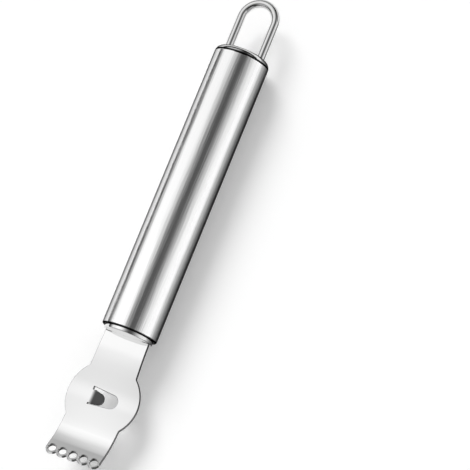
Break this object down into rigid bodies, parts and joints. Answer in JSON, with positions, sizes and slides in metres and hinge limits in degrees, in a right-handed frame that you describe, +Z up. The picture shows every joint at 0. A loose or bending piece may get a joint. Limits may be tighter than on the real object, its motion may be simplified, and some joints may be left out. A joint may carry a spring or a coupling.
{
  "type": "citrus zester",
  "caption": "Steel citrus zester: bent blade with a row of small ringed zesting holes and a channel-cutting tongue, round tube handle and wire hanging loop.",
  "frame": {"origin": "on the surface the tool lies on, under the centre of its box", "axes": "+Y along the handle towards the hanging loop, +Z up out of the blade's front face, +X across the blade towards the slot's round end"},
  "size_m": [0.0268, 0.176, 0.02],
  "materials": {
    "satin_steel": "satin, brushed along the handle",
    "polished_steel": "polished"
  },
  "bodies": {
    "root": {"handle_tube": "satin_steel", "front_cap": "polished_steel", "blade": "polished_steel", "rear_cap": "polished_steel", "hanging_loop": "polished_steel"}
  },
  "joints": []
}
